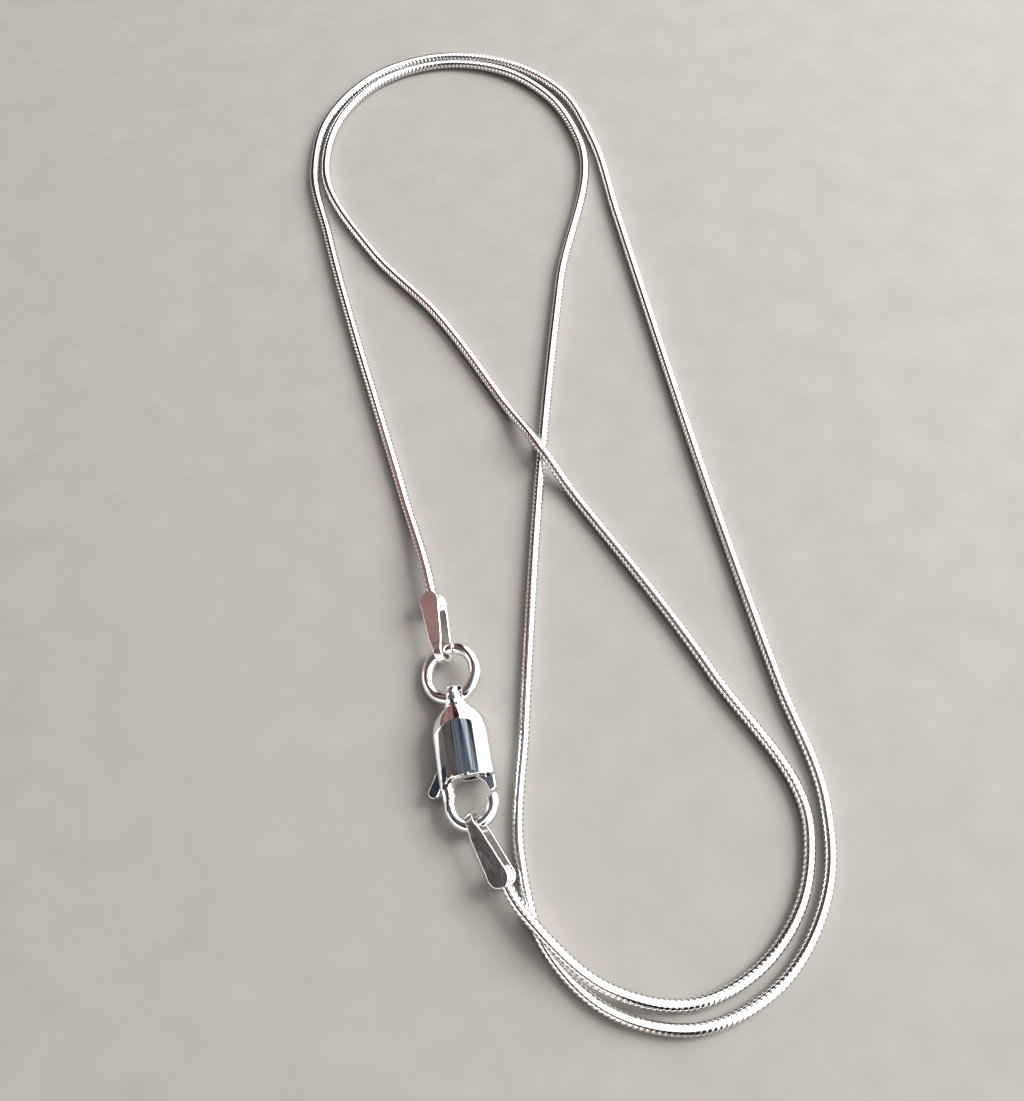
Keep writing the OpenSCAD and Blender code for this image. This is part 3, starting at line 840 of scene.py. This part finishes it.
def make_card(name, corner, first_edge, second_edge, colours, blotches):
    """A card seen in reflections only, with soft patches of its two colours."""
    corner, first_edge, second_edge = Vector(corner), Vector(first_edge), Vector(second_edge)
    corners = [corner, corner + first_edge, corner + first_edge + second_edge, corner + second_edge]
    material = bpy.data.materials.new(name)
    material.use_nodes = True
    nodes, links = material.node_tree.nodes, material.node_tree.links
    nodes.clear()
    place = nodes.new("ShaderNodeTexCoord")
    stretch = nodes.new("ShaderNodeMapping")
    stretch.inputs["Scale"].default_value = blotches
    links.new(place.outputs["Object"], stretch.inputs["Vector"])
    noise = nodes.new("ShaderNodeTexNoise")
    noise.inputs["Scale"].default_value = 1
    noise.inputs["Detail"].default_value = 1
    noise.inputs["Distortion"].default_value = 0.8
    links.new(stretch.outputs["Vector"], noise.inputs["Vector"])
    tint = nodes.new("ShaderNodeValToRGB")
    for stop, position, colour in zip(tint.color_ramp.elements, (0.42, 0.6), colours):
        stop.position = position
        stop.color = (*colour, 1)
    links.new(noise.outputs["Fac"], tint.inputs["Fac"])
    glow = nodes.new("ShaderNodeEmission")
    links.new(tint.outputs["Color"], glow.inputs["Color"])
    out = nodes.new("ShaderNodeOutputMaterial")
    links.new(glow.outputs["Emission"], out.inputs["Surface"])
    card = make_object(name, corners, [(0, 1, 2, 3)], material, smooth=False)
    card.visible_camera = False
    card.visible_diffuse = False
    card.visible_shadow = False
    card.visible_transmission = False


# Colours of the things that the silver reflects
DARK = (0.012, 0.011, 0.014)
GREY = (0.12, 0.108, 0.11)
MAROON = (0.03, 0.011, 0.011)
RUSSET = (0.11, 0.048, 0.044)
ROSE = (0.17, 0.085, 0.08)
BLUSH = (0.36, 0.22, 0.2)
INK = (0.008, 0.016, 0.03)
SLATE = (0.13, 0.155, 0.185)
STEEL = (0.07, 0.1, 0.135)
MIST = (0.6, 0.7, 0.76)
UMBER = (0.085, 0.074, 0.07)
ASH = (0.15, 0.138, 0.132)
PALE = (0.95, 0.98, 1.0)
SOOT = (0.028, 0.034, 0.043)

# Cards: name, one corner, two edges from it, two colours and how many patches of them go to the metre
CARDS = [
    ("dark_card", (-102, -150, 85), (75, 0, 0), (0, 158, 0), (DARK, GREY), (70, 70, 1)),
    ("warm_card", (-115, 8, 85), (88, 0, 0), (0, 150, 0), (MAROON, RUSSET), (22, 22, 1)),
    ("far_card", (-24, -38, 86), (29, 0, 0), (0, 60, 0), (DARK, GREY), (30, 30, 1)),
    ("tab_card", (-46, -13, 20), (24, 0, 0), (0, 30, 0), (ROSE, BLUSH), (160, 160, 1)),
    ("barrel_card", (-72, -33, 20), (60, 0, 0), (0, 14.5, 0), (UMBER, ASH), (90, 60, 1)),
    ("streak_card", (-15.8, -31, 19.6), (9, 0, 0), (-6, 12.5, 0), (INK, SLATE), (330, 50, 1)),
    ("glint_card", (-6.8, -31, 19.8), (4, 0, 0), (-6, 12.5, 0), (STEEL, MIST), (330, 60, 1)),
    ("thumb_card", (-13.3, -32.2, 3.2), (2.8, 0, 0), (0, 3.2, 0), (SOOT, SOOT), (1, 1, 1)),
    ("north_card", (-45, 74, 30), (60, 0, 0), (0, 26, 0), (DARK, DARK), (1, 1, 1)),
    ("blush_card", (-40, -8, 3), (0, 22, 0), (0, 0, 21), (ROSE, BLUSH), (120, 120, 1)),
    ("edge_card", (-25, -42, 1.5), (0, 20, 0), (0, 0, 5.5), (PALE, PALE), (1, 1, 1)),
]


def make_softbox(name, centre, size, colour, watts):
    data = bpy.data.lights.new(name, "AREA")
    data.shape = "RECTANGLE"
    data.size, data.size_y = size[0] * MM, size[1] * MM
    data.color = colour
    data.energy = watts
    light = bpy.data.objects.new(name, data)
    bpy.context.scene.collection.objects.link(light)
    place = Vector(centre) * MM
    light.location = place
    light.rotation_mode = "QUATERNION"
    light.rotation_quaternion = (-place).to_track_quat("-Z", "Y")
    light.visible_camera = False


SKY_STRENGTH = 1.3
SKY_GLARE = 2.0
SKY_WHITE = (1.0, 1.0, 1.0)
BACKDROP = (0.5, 0.49, 0.47)
# The dark room from the floor up: its pale foot on one side, its dark walls and where the sky takes over. A
# height here is the Z of a direction one long.
ROOM_LOW = (0.8, 0.72, 0.67)
ROOM_DARK = (0.012, 0.01, 0.01)
ROOM_FOOT = (0.54, 0.62)
FOOT_HEADING = 202
FOOT_EDGE = (0.42, 0.75)
ROOM_TOP = (0.84, 0.92)
WINDOW_HEADING = 22
WINDOW_EDGE = (-0.1, 0.05)
# The dark skirt under the window's far end, with the height at which it fades out
SKIRT_HEADING = 115
SKIRT_EDGE = (0.83, 0.92)
SKIRT_TOP = (0.52, 0.42)


def make_world():
    """A white sky on the right and behind, a dark room on the left and in front, and a plain backdrop.

    The room's pale foot, its white top and the dark skirt under the window are there for reflections only.
    """
    world = bpy.data.worlds.new("studio")
    bpy.context.scene.world = world
    world.use_nodes = True
    nodes, links = world.node_tree.nodes, world.node_tree.links
    sky = nodes["Background"]

    def mixed(factor, a, b):
        mix = nodes.new("ShaderNodeMix")
        mix.data_type = "RGBA"
        links.new(factor, mix.inputs["Factor"])
        for socket, colour in (("A", a), ("B", b)):
            if isinstance(colour, tuple):
                mix.inputs[socket].default_value = (*colour, 1)
            else:
                links.new(colour, mix.inputs[socket])
        return mix.outputs["Result"]

    def ranged(value, low, high):
        ramp = nodes.new("ShaderNodeMapRange")
        ramp.interpolation_type = "SMOOTHSTEP"
        ramp.inputs["From Min"].default_value = low
        ramp.inputs["From Max"].default_value = high
        links.new(value, ramp.inputs["Value"])
        return ramp.outputs["Result"]

    def times(a, b):
        product = nodes.new("ShaderNodeMath")
        product.operation = "MULTIPLY"
        links.new(a, product.inputs[0])
        links.new(b, product.inputs[1])
        return product.outputs["Value"]

    place = nodes.new("ShaderNodeTexCoord")
    level = nodes.new("ShaderNodeVectorMath")
    level.operation = "MULTIPLY"
    level.inputs[1].default_value = (1, 1, 0)
    links.new(place.outputs["Generated"], level.inputs[0])
    flat = nodes.new("ShaderNodeVectorMath")
    flat.operation = "NORMALIZE"
    links.new(level.outputs["Vector"], flat.inputs[0])

    def towards(angle):
        share = nodes.new("ShaderNodeVectorMath")
        share.operation = "DOT_PRODUCT"
        share.inputs[1].default_value = (cos(angle), sin(angle), 0)
        links.new(flat.outputs["Vector"], share.inputs[0])
        return share.outputs["Value"]

    parts = nodes.new("ShaderNodeSeparateXYZ")
    links.new(place.outputs["Generated"], parts.inputs["Vector"])

    path = nodes.new("ShaderNodeLightPath")
    glossy = path.outputs["Is Glossy Ray"]
    foot_share = times(ranged(towards(FOOT_HEADING), *FOOT_EDGE), glossy)
    low = mixed(foot_share, ROOM_DARK, ROOM_LOW)
    room = mixed(ranged(parts.outputs["Z"], *ROOM_FOOT), low, ROOM_DARK)
    room = mixed(times(ranged(parts.outputs["Z"], *ROOM_TOP), glossy), room, SKY_WHITE)
    window = mixed(ranged(towards(WINDOW_HEADING), *WINDOW_EDGE), room, SKY_WHITE)
    skirt_share = times(ranged(towards(SKIRT_HEADING), *SKIRT_EDGE), ranged(parts.outputs["Z"], *SKIRT_TOP))
    around = mixed(times(skirt_share, glossy), window, ROOM_DARK)
    links.new(mixed(path.outputs["Is Camera Ray"], around, BACKDROP), sky.inputs["Color"])
    strength = nodes.new("ShaderNodeMapRange")
    strength.inputs["To Min"].default_value = SKY_STRENGTH
    strength.inputs["To Max"].default_value = SKY_GLARE
    links.new(glossy, strength.inputs["Value"])
    links.new(strength.outputs["Result"], sky.inputs["Strength"])


bpy.context.scene.view_settings.view_transform = "Standard"
make_camera()
make_world()
make_floor()
make_softbox("window_light", (440, 130, 350), (260, 360), (0.97, 0.98, 1.0), 5.0)
for card in CARDS:
    make_card(*card)

silver_chain = chain_silver()
silver_clasp = polished_silver("clasp_silver", (0.96, 0.96, 0.965), 0.07, 2600, 0.006)
silver_ring = polished_silver("ring_silver", (0.96, 0.95, 0.94), 0.09, 2600, 0.006)
silver_tab = tab_silver()

chain_centre, chain_lengths, chain_split = chain_line()
first = make_chain("chain_links_first", 0, chain_split, chain_centre, chain_lengths, silver_chain)
chain_end = chain_lengths[-1]
second = make_chain("chain_links_second", chain_split, chain_end, chain_centre, chain_lengths, silver_chain)
ring = make_ring(silver_ring)
ring_tab_place = tab_frame(RING_TAB_BEND, RING_TAB_HEADING, RING_TAB_RISE, TAB_ROLL)
hook_tab_place = tab_frame(HOOK_TAB_BEND, HOOK_TAB_HEADING, HOOK_TAB_RISE, -TAB_ROLL)
ring_tab = make_tab("tab_on_ring", ring_tab_place, silver_tab)
hook_tab = make_tab("tab_on_hook", hook_tab_place, silver_tab)
clasp = make_clasp_body(silver_clasp)
lever = make_clasp_lever(silver_clasp)

PIECES = [
    (first, "root", "chain_first", "chain_silver"),
    (second, "root", "chain_second", "chain_silver"),
    (ring, "root", "jump_ring", "ring_silver"),
    (ring_tab, "root", "end_tab_ring", "tab_silver"),
    (hook_tab, "root", "end_tab_hook", "tab_silver"),
    (clasp, "root", "clasp_body", "clasp_silver"),
    (lever, "lever", "clasp_lever", "clasp_silver"),
]
for piece, body, node, slot in PIECES:
    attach(piece, body)
    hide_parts(node)

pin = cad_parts["clasp_pin"]
pin.data.materials.clear()
pin.data.materials.append(silver_clasp)
